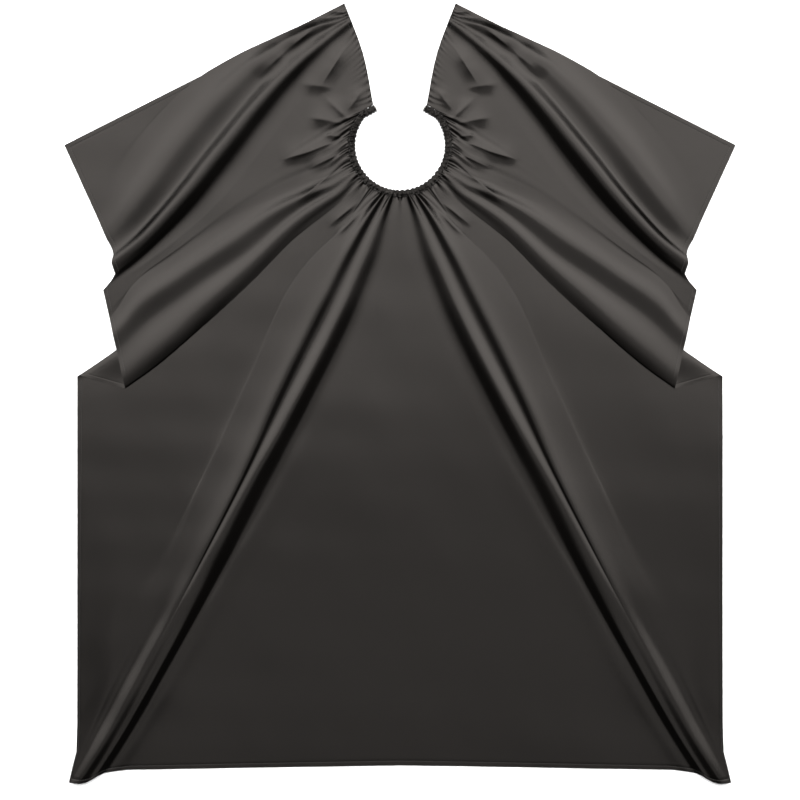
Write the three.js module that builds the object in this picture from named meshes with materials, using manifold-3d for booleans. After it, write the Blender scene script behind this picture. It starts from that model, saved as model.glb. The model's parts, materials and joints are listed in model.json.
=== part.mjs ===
// A barber cape laid flat, its wings spread at the slit and its slack lying in folds.
// Millimetres, +Z up and +Y towards the slit. The origin is on the surface that the cape lies on,
// under the middle of the cape's box.
import * as THREE from "three";
import { mergeVertices } from "three/addons/utils/BufferGeometryUtils.js";
import Module from "manifold-3d";

const wasm = await Module();
wasm.setup();

// Overall sizes of the laid cape
const LENGTH = 1400; // slit corners to bottom corners
const WING_SPAN = 1208; // across the outer corners of the two wings
const BODY_WIDTH = 1161; // across the sides, below the pleats
const BOTTOM_WIDTH = 1190; // across the bottom corners
const HEM_ARCH = 29; // how far the middle of the bottom hem lies above the corners

// Slit and wings; each level is measured down from the slit corners
const SLIT_TOP_GAP = 200; // between the two slit corners
const SLIT_BOW = 8; // how far each slit edge bows into the slit
const WING_CORNER_LEVEL = 255;
const WING_FOOT_LEVEL = 462; // where the wing's side edge meets the wing fold
const WING_FOOT_INSET = 86; // from the wing's outer corner, across
const TIER_TIP_LEVEL = 516; // upper corner of the second layer
const TIER_TIP_INSET = 70;
const FLAP_ROOT_LEVEL = 617; // where the pleat's under layer comes out from below the second layer
const FLAP_ROOT_INSET = 94;
const FLAP_TIP_LEVEL = 668;
const TIER_FOOT_LEVEL = 693; // lower corner of the second layer, on the pleat
const TIER_FOOT_INSET = 110;

// Bottom corners, where the two long folds end
const CORNER_LIFT = 50; // the side edge turns out to the corner over this height
const ROLL_WIDTH = 34; // flat end of the rolled fold
const ROLL_SHOULDER = 38; // run from there up to the hem
const ROLL_RISE = 20;

// Cloth
const SHEET = 3; // the laid sheet, with the slack that keeps it off the surface
const HEM = 8; // edge to hem seam
const SEAM_STOP = 13; // each hem seam stops this far from the corners of its edge
const CLEARANCE = 0.3; // between sewn pieces

// Neck opening, its casing and its elastic
const NECK_RADIUS = 80.5;
const NECK_LEVEL = 255.5; // neck centre below the slit corners
const ELASTIC_WIDTH = 9;
const ELASTIC_THICKNESS = 1.2;
const ELASTIC_SLACK = 0.8; // beside the elastic, on each side
const ELASTIC_END_GAP = 0.6;
const CASING_WALL = 1.2;
const CASING_PUFF = 2.4; // height that the gathers add over the elastic
const CASING_WIDTH = ELASTIC_WIDTH + 2 * (CASING_WALL + ELASTIC_SLACK);
const CASING_HEIGHT = ELASTIC_THICKNESS + 2 * CASING_WALL + CASING_PUFF;
const CASING_ARC_END = 142; // degrees from +X, where the casing's left arc runs into its straight end
const CASING_END_RUN = 27.5;
const CASING_END_ANGLE = 30; // degrees from +X
const CASING_SEAM_INSET = 1.6; // each seam row from its edge of the casing

// Closure hooks, bent from wire and sewn on at their inner bar
const HOOK_WIRE = 1.4;
const HOOK_LENGTH = CASING_WIDTH + HOOK_WIRE + 2 * CLEARANCE; // along the casing's end, clear of it
const HOOK_REACH = 6.3; // inner bar to outer bar
const HOOK_BEND = 1.8; // bend radius at the wire's centre
const HOOK_LIP = 1.1; // inward turn of the outer bar's free end
const HOOK_LEVEL = 2.6; // centre of the bar above the surface
const TACK_LOOPS = 4;
const TACK_LOOP_WIDTH = 0.9;
const TACK_THREAD = 0.6;
const TACK_PLATE = 0.8;

// Seam thread
const THREAD_WIDTH = 0.8;
const THREAD_HEIGHT = 0.5;

// Folds: width and height where each starts and where it ends, and its bow to the side
const FOLD_SETBACK = 26; // from an edge or the casing, so that the fold runs down before it
const WING_FOLD = { width: [24, 56], height: [9, 21], bow: 12, bowAt: 0.35 };
const PLEAT_FOLD = { width: [18, 60], height: [8, 20], bow: 22, bowAt: 0.5 };
const LONG_FOLD = { width: [16, 66], height: [9, 22], bow: 10, bowAt: 0.3 };

const TOP = LENGTH / 2;
const BOTTOM = -LENGTH / 2;
const NECK_Y = TOP - NECK_LEVEL;
const CASING_RADIUS = NECK_RADIUS + CASING_WIDTH / 2;
const NECK_STEPS = 60;
const FOLD_STEPS = 18;
const FOLD_SIDES = 8;
const FOLD_RUN_OUT = 0.12; // share of a fold's length over which each end runs down

const radians = THREE.MathUtils.degToRad;
const point = (x, y) => new THREE.Vector2(x, y);
const mirrored = (points) => points.map((p) => point(-p.x, p.y)).reverse();

// The corners of the left half
const slitCorner = point(-SLIT_TOP_GAP / 2, TOP);
const wingCorner = point(-WING_SPAN / 2, TOP - WING_CORNER_LEVEL);
const wingFoot = point(wingCorner.x + WING_FOOT_INSET, TOP - WING_FOOT_LEVEL);
const tierTip = point(wingCorner.x + TIER_TIP_INSET, TOP - TIER_TIP_LEVEL);
const flapRoot = point(wingCorner.x + FLAP_ROOT_INSET, TOP - FLAP_ROOT_LEVEL);
const flapTip = point(-BODY_WIDTH / 2, TOP - FLAP_TIP_LEVEL);
const tierFoot = point(wingCorner.x + TIER_FOOT_INSET, TOP - TIER_FOOT_LEVEL);
const sideFoot = point(-BODY_WIDTH / 2, BOTTOM + CORNER_LIFT);
const bottomCorner = point(-BOTTOM_WIDTH / 2, BOTTOM);
const rollEnd = point(bottomCorner.x + ROLL_WIDTH, BOTTOM);
const hemEnd = point(rollEnd.x + ROLL_SHOULDER, BOTTOM + ROLL_RISE);
const hemMiddle = point(0, BOTTOM + HEM_ARCH);

// The casing's centre line: an arc round the neck, whose ends straighten towards the slit.
function neckLine() {
  const arcEnd = radians(CASING_ARC_END);
  const lastAngle = 2 * Math.PI + Math.PI - arcEnd;
  const arc = [];
  const arcSteps = 24;
  for (let i = 0; i <= arcSteps; i++) {
    const angle = THREE.MathUtils.lerp(arcEnd, lastAngle, i / arcSteps);
    arc.push(point(CASING_RADIUS * Math.cos(angle), NECK_Y + CASING_RADIUS * Math.sin(angle)));
  }
  const end = radians(CASING_END_ANGLE);
  const run = point(Math.cos(end), Math.sin(end)).multiplyScalar(CASING_END_RUN);
  const leftEnd = arc[0].clone().add(run);
  return flatCurve([leftEnd, ...arc, point(-leftEnd.x, leftEnd.y)]);
}

// A curve through plan points at height z.
function flatCurve(points, z = 0) {
  const lifted = points.map((p) => new THREE.Vector3(p.x, p.y, z));
  return new THREE.CatmullRomCurve3(lifted, false, "centripetal");
}

// Points along a curve, shifted in plan to the right of its direction.
function shifted(curve, distance, steps) {
  const points = [];
  for (let i = 0; i <= steps; i++) {
    const at = curve.getPointAt(i / steps);
    const along = curve.getTangentAt(i / steps);
    points.push(point(at.x + along.y * distance, at.y - along.x * distance));
  }
  return points;
}

const casingLine = neckLine();
const slitFoot = shifted(casingLine, CASING_WIDTH / 2 + CLEARANCE, NECK_STEPS)[0];

// The slit edge of the left wing, from the corner down to the casing.
function slitEdge() {
  const middle = slitCorner.clone().lerp(slitFoot, 0.5);
  middle.x += SLIT_BOW;
  return flatCurve([slitCorner, middle, slitFoot]);
}

// The sheet's outline, its slit and neck opening included, as one closed line.
function sheetOutline() {
  const hem = flatCurve([point(-hemEnd.x, hemEnd.y), hemMiddle, hemEnd]);
  const slit = slitEdge().getSpacedPoints(8).map((p) => point(p.x, p.y));
  const left = [
    rollEnd,
    bottomCorner,
    sideFoot,
    flapTip,
    flapRoot,
    tierTip,
    wingFoot,
    wingCorner,
    ...slit.slice(0, -1),
  ];
  const neck = shifted(casingLine, CASING_WIDTH / 2 + CLEARANCE, NECK_STEPS);
  const bottom = hem.getSpacedPoints(16).map((p) => point(p.x, p.y));
  return new THREE.Shape([...bottom, ...left, ...neck, ...mirrored(left)]);
}

function toSolid(geometry) {
  const bare = geometry.clone();
  bare.deleteAttribute("normal");
  bare.deleteAttribute("uv");
  const merged = mergeVertices(bare, 1e-4);
  const vertProperties = merged.attributes.position.array;
  const triVerts = new Uint32Array(merged.index.array);
  return new wasm.Manifold(new wasm.Mesh({ numProp: 3, vertProperties, triVerts }));
}

function toGeometry(solid) {
  const mesh = solid.getMesh();
  const geometry = new THREE.BufferGeometry();
  geometry.setAttribute("position", new THREE.BufferAttribute(mesh.vertProperties, 3));
  geometry.setIndex(new THREE.BufferAttribute(mesh.triVerts, 1));
  geometry.computeVertexNormals();
  return geometry;
}

const joined = (geometries) =>
  toGeometry(geometries.map(toSolid).reduce((whole, piece) => whole.add(piece)));

// A bent line between two points, bowed to the right of its direction.
function foldLine(start, end, fold) {
  const along = end.clone().sub(start).normalize();
  const control = start.clone().lerp(end, fold.bowAt);
  control.add(point(along.y, -along.x).multiplyScalar(2 * fold.bow));
  const lifted = [start, control, end].map((p) => new THREE.Vector3(p.x, p.y, 0));
  return new THREE.QuadraticBezierCurve3(...lifted);
}

// A fold standing on the sheet: half-elliptic sections along a curve, rooted inside the sheet,
// whose two ends run down into it.
function foldRidge(line, fold) {
  const positions = [];
  const root = SHEET / 2;
  for (let i = 0; i <= FOLD_STEPS; i++) {
    const share = i / FOLD_STEPS;
    const at = line.getPointAt(share);
    const along = line.getTangentAt(share);
    const runOut = Math.min(1, share / FOLD_RUN_OUT, (1 - share) / FOLD_RUN_OUT);
    const half = THREE.MathUtils.lerp(...fold.width, share) / 2;
    const full = THREE.MathUtils.lerp(...fold.height, share) - root;
    const rise = THREE.MathUtils.lerp(root / 2, full, runOut);
    for (let j = 0; j <= FOLD_SIDES; j++) {
      const angle = (Math.PI * j) / FOLD_SIDES;
      const across = half * Math.cos(angle);
      positions.push(at.x + along.y * across, at.y - along.x * across, root + rise * Math.sin(angle));
    }
  }
  return ringSolid(positions, FOLD_SIDES + 1, FOLD_STEPS + 1);
}

// A closed solid over rings of equal count, with a fan over each end.
function ringSolid(positions, perRing, rings) {
  const index = [];
  for (let i = 0; i + 1 < rings; i++) {
    for (let j = 0; j < perRing; j++) {
      const a = i * perRing + j;
      const b = i * perRing + ((j + 1) % perRing);
      index.push(a, a + perRing, b, b, a + perRing, b + perRing);
    }
  }
  const last = (rings - 1) * perRing;
  for (let j = 1; j + 1 < perRing; j++) {
    index.push(0, j, j + 1, last, last + j + 1, last + j);
  }
  const geometry = new THREE.BufferGeometry();
  geometry.setAttribute("position", new THREE.Float32BufferAttribute(positions, 3));
  geometry.setIndex(index);
  return geometry;
}

// The folds of the left half, each from its start beside the slit or neck to the edge it runs out at.
function leftFolds() {
  const pull = (from, to) => from.clone().add(to.clone().sub(from).setLength(FOLD_SETBACK));
  const clear = CASING_RADIUS + CASING_WIDTH / 2 + FOLD_SETBACK / 2;
  const wingStart = slitCorner.clone().add(point(-FOLD_SETBACK, -1.6 * FOLD_SETBACK));
  const pleatStart = point(-clear * Math.cos(radians(45)), NECK_Y - clear * Math.sin(radians(45)));
  const longStart = point(-clear * Math.sin(radians(14)), NECK_Y - clear * Math.cos(radians(14)));
  const longEnd = bottomCorner.clone().lerp(hemEnd, 0.5);
  return [
    [foldLine(wingStart, pull(wingFoot, wingStart), WING_FOLD), WING_FOLD],
    [foldLine(pleatStart, pull(tierFoot, pleatStart), PLEAT_FOLD), PLEAT_FOLD],
    [foldLine(longStart, pull(pull(longEnd, longStart), longStart), LONG_FOLD), LONG_FOLD],
  ];
}

// Mirrors a geometry across X = 0 and turns its faces out again.
function mirroredGeometry(geometry) {
  const copy = geometry.clone().applyMatrix4(new THREE.Matrix4().makeScale(-1, 1, 1));
  const index = copy.index.array;
  for (let i = 0; i < index.length; i += 3) {
    [index[i + 1], index[i + 2]] = [index[i + 2], index[i + 1]];
  }
  return copy;
}

function sheetGeometry() {
  const flat = new THREE.ExtrudeGeometry(sheetOutline(), { depth: SHEET, bevelEnabled: false });
  const left = leftFolds().map(([line, fold]) => foldRidge(line, fold));
  return joined([flat, ...left, ...left.map(mirroredGeometry)]);
}

// A rectangular section for a flat sweep: its x becomes height, downwards, and its y runs across.
function bandSection(width, height) {
  const [w, h] = [width / 2, height / 2];
  return new THREE.Shape([point(-h, -w), point(h, -w), point(h, w), point(-h, w)]);
}

const swept = (section, path, steps) =>
  new THREE.ExtrudeGeometry(section, { extrudePath: path, steps, bevelEnabled: false });

// The gathered tube of cloth round the neck, open at both ends.
function casingGeometry() {
  const section = bandSection(CASING_WIDTH, CASING_HEIGHT);
  section.holes.push(bandSection(CASING_WIDTH - 2 * CASING_WALL, CASING_HEIGHT - 2 * CASING_WALL));
  const line = flatCurve(shifted(casingLine, 0, NECK_STEPS), CASING_HEIGHT / 2);
  return swept(section, line, NECK_STEPS);
}

// The flat elastic inside the casing, a little shorter at each end.
function elasticGeometry() {
  const share = ELASTIC_END_GAP / casingLine.getLength();
  const points = [];
  for (let i = 0; i <= NECK_STEPS; i++) {
    const at = casingLine.getPointAt(THREE.MathUtils.lerp(share, 1 - share, i / NECK_STEPS));
    points.push(point(at.x, at.y));
  }
  const floor = CASING_WALL + CLEARANCE + ELASTIC_THICKNESS / 2;
  return swept(bandSection(ELASTIC_WIDTH, ELASTIC_THICKNESS), flatCurve(points, floor), NECK_STEPS);
}

// A row of thread lying on a face at the given height.
function seamGeometry(points, face, steps) {
  const line = flatCurve(points, face + CLEARANCE + THREAD_HEIGHT / 2);
  return swept(bandSection(THREAD_WIDTH, THREAD_HEIGHT), line, steps);
}

// The seam of one hemmed edge, set in from it and stopped short of both its ends.
function hemSeam(edge, steps) {
  const share = SEAM_STOP / edge.getLength();
  const inner = [];
  for (let i = 0; i <= steps; i++) {
    const u = THREE.MathUtils.lerp(share, 1 - share, i / steps);
    const at = edge.getPointAt(u);
    const along = edge.getTangentAt(u);
    inner.push(point(at.x + along.y * HEM, at.y - along.x * HEM));
  }
  return inner;
}

// The hemmed edges of the left half, the sheet lying to the right of each direction.
const leftEdges = {
  slit: { line: slitEdge(), steps: 8 },
  top: { line: flatCurve([wingCorner, slitCorner]), steps: 2 },
  wing: { line: flatCurve([wingFoot, wingCorner]), steps: 2 },
  tier: { line: flatCurve([flapRoot, tierTip]), steps: 2 },
  body: { line: flatCurve([sideFoot, flapTip]), steps: 2 },
};

function casingSeam(across) {
  return seamGeometry(shifted(casingLine, across, NECK_STEPS), CASING_HEIGHT, NECK_STEPS);
}

// The hook's wire in its own frame: the inner bar on the Y axis and the outer bar at +X.
// side is 1 where the joined end of the bars lies at -Y, and -1 where it lies at +Y.
function hookGeometry(side) {
  const half = HOOK_LENGTH / 2;
  const bend = HOOK_BEND;
  const at = (x, y) => new THREE.Vector3(x, side * y, 0);
  const wire = new THREE.CurvePath();
  wire.add(new THREE.LineCurve3(at(0, half), at(0, bend - half)));
  wire.add(new THREE.QuadraticBezierCurve3(at(0, bend - half), at(0, -half), at(bend, -half)));
  wire.add(new THREE.LineCurve3(at(bend, -half), at(HOOK_REACH - bend, -half)));
  wire.add(
    new THREE.QuadraticBezierCurve3(
      at(HOOK_REACH - bend, -half),
      at(HOOK_REACH, -half),
      at(HOOK_REACH, bend - half),
    ),
  );
  wire.add(new THREE.LineCurve3(at(HOOK_REACH, bend - half), at(HOOK_REACH, half - bend)));
  wire.add(
    new THREE.QuadraticBezierCurve3(
      at(HOOK_REACH, half - bend),
      at(HOOK_REACH, half),
      at(HOOK_REACH - HOOK_LIP, half),
    ),
  );
  const section = new THREE.Shape();
  section.absarc(0, 0, HOOK_WIRE / 2, 0, 2 * Math.PI);
  return new THREE.ExtrudeGeometry(section, {
    extrudePath: wire,
    steps: 44,
    curveSegments: 5,
    bevelEnabled: false,
  });
}

// The thread that holds a hook: loops round its inner bar, joined by a plate on the casing's end.
function tackGeometry() {
  const inner = HOOK_WIRE / 2 + CLEARANCE;
  const outer = inner + TACK_THREAD;
  const span = HOOK_LENGTH - 2 * HOOK_BEND - 2;
  const plate = new THREE.BoxGeometry(TACK_PLATE, span, 2 * outer);
  plate.translate(-inner - TACK_PLATE / 2, 0, 0);
  const pieces = [plate];
  const ring = new THREE.Shape();
  ring.absarc(0, 0, outer, 0, 2 * Math.PI);
  const bore = new THREE.Path();
  bore.absarc(0, 0, inner, 0, 2 * Math.PI, true);
  ring.holes.push(bore);
  for (let i = 0; i < TACK_LOOPS; i++) {
    const middle = THREE.MathUtils.lerp(-0.5, 0.5, (i + 0.5) / TACK_LOOPS) * span;
    const loop = new THREE.ExtrudeGeometry(ring, {
      depth: TACK_LOOP_WIDTH,
      curveSegments: 6,
      bevelEnabled: false,
    });
    loop.rotateX(Math.PI / 2);
    loop.translate(0, middle + TACK_LOOP_WIDTH / 2, 0);
    pieces.push(loop);
  }
  return joined(pieces);
}

// A frame on a hook's bar: +X away from the casing's end and the bar along Y.
function hookFrame(side) {
  const out = radians(side > 0 ? CASING_END_ANGLE : 180 - CASING_END_ANGLE);
  const end = casingLine.getPointAt(side > 0 ? 0 : 1);
  const reach = CLEARANCE + TACK_PLATE + CLEARANCE + HOOK_WIRE / 2;
  const frame = new THREE.Group();
  frame.position.set(end.x + reach * Math.cos(out), end.y + reach * Math.sin(out), HOOK_LEVEL);
  frame.rotation.z = out;
  return frame;
}

const cloth = () => new THREE.MeshStandardMaterial({ color: 0x36332f, roughness: 0.55, metalness: 0 });
const elastic = () => new THREE.MeshStandardMaterial({ color: 0x1d1c1b, roughness: 0.8, metalness: 0 });
const thread = () => new THREE.MeshStandardMaterial({ color: 0x24221f, roughness: 0.7, metalness: 0 });
const clearThread = () => new THREE.MeshStandardMaterial({ color: 0xb9b7b2, roughness: 0.4, metalness: 0 });
const wireMetal = () => new THREE.MeshStandardMaterial({ color: 0xb4b4b2, roughness: 0.25, metalness: 1 });

function named(name, geometry, material) {
  const mesh = new THREE.Mesh(geometry, material);
  mesh.name = name;
  return mesh;
}

const cape = new THREE.Group();
cape.add(named("cape_panel", sheetGeometry(), cloth()));
cape.add(named("neck_casing", casingGeometry(), cloth()));
cape.add(named("neck_elastic", elasticGeometry(), elastic()));

const seamRow = CASING_WIDTH / 2 - CASING_SEAM_INSET;
cape.add(named("casing_seam_outer", casingSeam(seamRow), thread()));
cape.add(named("casing_seam_inner", casingSeam(-seamRow), thread()));

for (const [edge, { line, steps }] of Object.entries(leftEdges)) {
  const left = hemSeam(line, steps);
  cape.add(named(`${edge}_seam_left`, seamGeometry(left, SHEET, steps), thread()));
  cape.add(named(`${edge}_seam_right`, seamGeometry(mirrored(left), SHEET, steps), thread()));
}
const bottomEdge = flatCurve([point(-hemEnd.x, hemEnd.y), hemMiddle, hemEnd]);
cape.add(named("bottom_seam", seamGeometry(hemSeam(bottomEdge, 16), SHEET, 16), thread()));

for (const [end, side] of [["left", 1], ["right", -1]]) {
  const frame = hookFrame(side);
  frame.add(named(`hook_tack_${end}`, tackGeometry(), clearThread()));
  frame.add(named(`closure_hook_${end}`, hookGeometry(side), wireMetal()));
  cape.add(frame);
}

export default cape;
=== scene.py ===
"""A barber cape laid flat: satin cloth with its folds, gathered neck casing, stitches and hooks.

Lengths are in millimetres until a mesh is made, in the frame of the CAD model: +Z up from the surface
that the cape lies on, +Y towards the slit. The left half is built, and the right half mirrors it.
"""
import json
import math

import bpy
import numpy as np
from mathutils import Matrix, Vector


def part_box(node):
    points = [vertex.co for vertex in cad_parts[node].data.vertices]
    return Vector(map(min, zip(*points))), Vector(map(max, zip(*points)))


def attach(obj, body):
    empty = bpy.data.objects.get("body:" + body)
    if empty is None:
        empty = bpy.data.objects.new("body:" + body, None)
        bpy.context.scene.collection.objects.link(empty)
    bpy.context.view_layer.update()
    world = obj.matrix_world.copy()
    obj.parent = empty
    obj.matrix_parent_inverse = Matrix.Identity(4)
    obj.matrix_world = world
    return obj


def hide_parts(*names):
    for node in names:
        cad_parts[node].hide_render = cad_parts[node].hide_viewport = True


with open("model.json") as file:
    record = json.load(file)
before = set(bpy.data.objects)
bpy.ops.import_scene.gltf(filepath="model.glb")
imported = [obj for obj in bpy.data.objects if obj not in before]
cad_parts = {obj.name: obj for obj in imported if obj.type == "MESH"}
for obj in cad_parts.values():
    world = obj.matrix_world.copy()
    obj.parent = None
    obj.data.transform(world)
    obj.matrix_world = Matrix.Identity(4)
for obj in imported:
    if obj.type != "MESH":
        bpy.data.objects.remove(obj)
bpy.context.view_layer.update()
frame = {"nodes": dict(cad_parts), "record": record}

MM = 0.001

# ---------------------------------------------------------------- camera

VIEW_WIDTH = 1.44  # metres across the picture at the floor
CAMERA_HEIGHT = 4.0
SENSOR = 36.0
VIEW_CENTRE_Y = -0.0138


def make_camera():
    data = bpy.data.cameras.new("camera")
    data.sensor_width = SENSOR
    data.lens = SENSOR * CAMERA_HEIGHT / VIEW_WIDTH
    camera = bpy.data.objects.new("camera", data)
    camera.location = (0.0, VIEW_CENTRE_Y, CAMERA_HEIGHT)
    bpy.context.scene.collection.objects.link(camera)
    bpy.context.scene.camera = camera


make_camera()

# ---------------------------------------------------------------- curves and interpolation


def smooth(t):
    t = np.clip(t, 0.0, 1.0)
    return t * t * (3 - 2 * t)


def hermite(at, knots, values):
    """Smooth interpolation of values, one row per knot, at the given places."""
    knots = np.asarray(knots, float)
    values = np.asarray(values, float)
    step = np.diff(knots)
    shape = (-1,) + (1,) * (values.ndim - 1)
    slope = np.diff(values, axis=0) / step.reshape(shape)
    tangent = np.zeros_like(values)
    tangent[0], tangent[-1] = slope[0], slope[-1]
    before, after = step[:-1].reshape(shape), step[1:].reshape(shape)
    tangent[1:-1] = (slope[:-1] * after + slope[1:] * before) / (before + after)
    k = np.clip(np.searchsorted(knots, at, side="right") - 1, 0, len(knots) - 2)
    t = ((at - knots[k]) / step[k]).reshape(shape)
    h = step[k].reshape(shape)
    return (
        values[k] * (1 + 2 * t) * (1 - t) ** 2
        + tangent[k] * h * t * (1 - t) ** 2
        + values[k + 1] * t * t * (3 - 2 * t)
        + tangent[k + 1] * h * t * t * (t - 1)
    )


def lengths(points):
    """Distance along a line of points, from its first."""
    return np.concatenate([[0.0], np.cumsum(np.linalg.norm(np.diff(points, axis=0), axis=1))])


class Line:
    """A smooth plan line through points, read by its share of the length."""

    def __init__(self, points):
        points = np.asarray(points, float)
        rough = lengths(points)
        fine = hermite(np.linspace(0, rough[-1], 400), rough, points)
        self.points = fine
        self.run = lengths(fine)

    def at(self, share):
        want = np.asarray(share) * self.run[-1]
        return np.stack([np.interp(want, self.run, self.points[:, i]) for i in (0, 1)], -1)

    def side(self, share):
        """Unit vectors to the left of the direction of travel."""
        d = self.at(np.clip(share + 0.01, 0, 1)) - self.at(np.clip(share - 0.01, 0, 1))
        d /= np.linalg.norm(d, axis=-1, keepdims=True)
        return np.stack([-d[:, 1], d[:, 0]], -1)


def bowed(start, end, bows):
    """Line from start to end through points at (share, bow), the bow in mm to the left of it."""
    start, end = np.asarray(start, float), np.asarray(end, float)
    along = (end - start) / np.linalg.norm(end - start)
    left = np.array([-along[1], along[0]])
    middle = [start + (end - start) * share + left * bow for share, bow in bows]
    return Line([start, *middle, end])


# ---------------------------------------------------------------- the casing's line

TUCK = 3.0  # how far the panel's neck edge runs in under the casing
casing_low, casing_high = (np.array(corner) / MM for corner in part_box("neck_casing"))
CASING_WIDTH = 13.0
CASING_RADIUS = casing_high[0] - CASING_WIDTH / 2
CASING_CENTRE_Y = casing_low[1] + casing_high[0]
CASING_TURN = math.radians(142)  # where the arc ends, round from +X
CASING_END = 27.5  # the straight stretch at each end
CASING_END_SLOPE = math.radians(30)


def casing_line():
    """The casing's middle line from its left end to its right end, and the unit vectors outward."""
    turn = np.linspace(CASING_TURN, 3 * math.pi - CASING_TURN, 260)
    arc = np.stack([np.cos(turn), np.sin(turn)], -1) * CASING_RADIUS + (0, CASING_CENTRE_Y)
    reach_out = np.linspace(CASING_END, 1, 24)[:, None]
    ahead = np.array([math.cos(CASING_END_SLOPE), math.sin(CASING_END_SLOPE)])
    start = arc[0] + reach_out * ahead
    finish = arc[-1] + reach_out[::-1] * ahead * (-1, 1)
    line = np.concatenate([start, arc, finish])
    along = np.gradient(line, axis=0)
    along /= np.linalg.norm(along, axis=1, keepdims=True)
    return line, np.stack([along[:, 1], -along[:, 0]], -1)


# ---------------------------------------------------------------- outline from the CAD panel


def cad_outline():
    """The panel's outline on the floor in order, in mm: the edges that only one bottom face has."""
    mesh = frame["nodes"]["cape_panel"].data
    co = np.array([v.co for v in mesh.vertices]) / MM
    _, first, same = np.unique(np.round(co, 2), axis=0, return_index=True, return_inverse=True)
    same = same.reshape(-1)
    used = {}
    for face in mesh.polygons:
        corner = [same[i] for i in face.vertices]
        if all(co[first[i]][2] < 0.01 for i in corner):
            for a, b in zip(corner, corner[1:] + corner[:1]):
                used[(a, b)] = True
    after = {a: b for a, b in used if (b, a) not in used}
    start = min(after, key=lambda i: (round(co[first[i]][1]), co[first[i]][0]))
    loop = [start]
    while after[loop[-1]] != start:
        loop.append(after[loop[-1]])
    points = np.array([co[first[i]][:2] for i in loop])
    area = np.sum(points[:, 0] * np.roll(points[:, 1], -1) - points[:, 1] * np.roll(points[:, 0], -1))
    return points if area < 0 else np.roll(points[::-1], 1, axis=0)


outline = cad_outline()
(bottom_corner, side_foot, flap_tip, flap_root, tier_tip, wing_foot, wing_corner, slit_corner) = outline[:8]
slit_and_neck = outline[7:][outline[7:, 0] <= 0.01]
upper_y = np.where(slit_and_neck[:, 1] > 0, slit_and_neck[:, 1], np.inf)
slit_and_neck = slit_and_neck[: 1 + int(np.argmin(upper_y))]  # it ends at the neck's lowest point
near_bottom = (np.abs(outline[:, 0]) < 40) & (outline[:, 1] < 0)
hem_middle = np.array([0.0, outline[near_bottom, 1].max()])

# A reach is a distance from the slit's corner, down the slit's edge and on round the neck.
NECK_REACH = lengths(slit_and_neck)
SLIT_REACH = float(NECK_REACH[int(np.argmax(np.diff(slit_and_neck[:, 0]) < 0))])


def inner_edge(reach):
    """Point at a reach: on the slit's edge, and further on just under the casing."""
    point = np.stack([np.interp(reach, NECK_REACH, slit_and_neck[:, i]) for i in (0, 1)], -1)
    inward = (0.0, CASING_CENTRE_Y) - point
    inward /= np.linalg.norm(inward, axis=-1, keepdims=True)
    return point + inward * (TUCK * smooth((np.asarray(reach) - SLIT_REACH - 6) / 22))[..., None]


# ---------------------------------------------------------------- how the cloth lies

# Three folds run down each half. A fold's sections list (across, height) points, the across distance
# to the left of the fold's line as it leaves the slit or neck, which is towards the bottom middle.

FLAT = 2.2  # height of the cloth where it lies flat
PLEAT_REACH, LONG_REACH = 345, 411  # where these two folds leave the neck

WING_LINE = bowed(
    slit_corner + (9, -23),
    wing_foot + (-1, -6),
    [
        (0.05, -4), (0.19, -17), (0.29, -19), (0.39, -15), (0.49, -9), (0.6, -3), (0.7, 3),
        (0.8, 6.5), (0.92, 6),
    ],
)
WING_SECTIONS = {
    0.0: [
        (-18, FLAT), (-14, 2.6), (-10, 3.5), (-7, 4.6), (-4, 4.8), (-2, 4.4), (0, 5.2), (3, 6.8),
        (6, 5.8), (9, 3.8), (12, 2.7), (17, FLAT), (24, FLAT),
    ],
    0.19: [
        (-50, 2.6), (-41, 5.2), (-34, 7.6), (-27, 7.4), (-19, 5.8), (-12, 4.6), (-6, 6.6), (2, 9.6),
        (9, 12.4), (15, 10.6), (24, 4.8), (33, 2.1), (54, FLAT),
    ],
    0.45: [
        (-110, FLAT), (-84, 5.6), (-66, 10.8), (-53, 13.0), (-35, 9.4), (-18, 6.0), (-11, 8.6),
        (-3, 13.2), (4, 16.2), (13, 14.8), (25, 7.8), (36, 1.9), (62, FLAT),
    ],
    0.8: [
        (-108, FLAT), (-82, 5.4), (-64, 10.6), (-51, 12.8), (-34, 9.4), (-18, 6.0), (-11, 8.8),
        (-3, 13.6), (5, 17.0), (14, 15.6), (27, 8.0), (39, 1.9), (62, FLAT),
    ],
    1.0: [
        (-74, FLAT), (-57, 4.4), (-45, 7.0), (-36, 7.4), (-26, 5.8), (-16, 4.6), (-9, 7.0), (-2, 10.2),
        (5, 13.6), (13, 12.4), (25, 6.8), (38, 2.1), (50, FLAT),
    ],
}
# each section point's reach at the inner edge, and its place and height at the hem
WING_INNER = [17, 19, 21, 23, 25, 27, 29, 31.5, 34.5, 38, 42, 47, 53]
WING_OUTER = [
    (-28, 80, FLAT), (-20, 62, 3.4), (-14, 48, 4.6), (-9, 37, 4.6), (-3, 27, 4.2), (1, 18, 4.8),
    (3, 10, 7.2), (1, 2, 9.8), (0, -6, 11.4), (3, -15, 9.6), (6, -25, 5.6), (-2, -38, 2.6),
    (-16, -54, FLAT),
]

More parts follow.
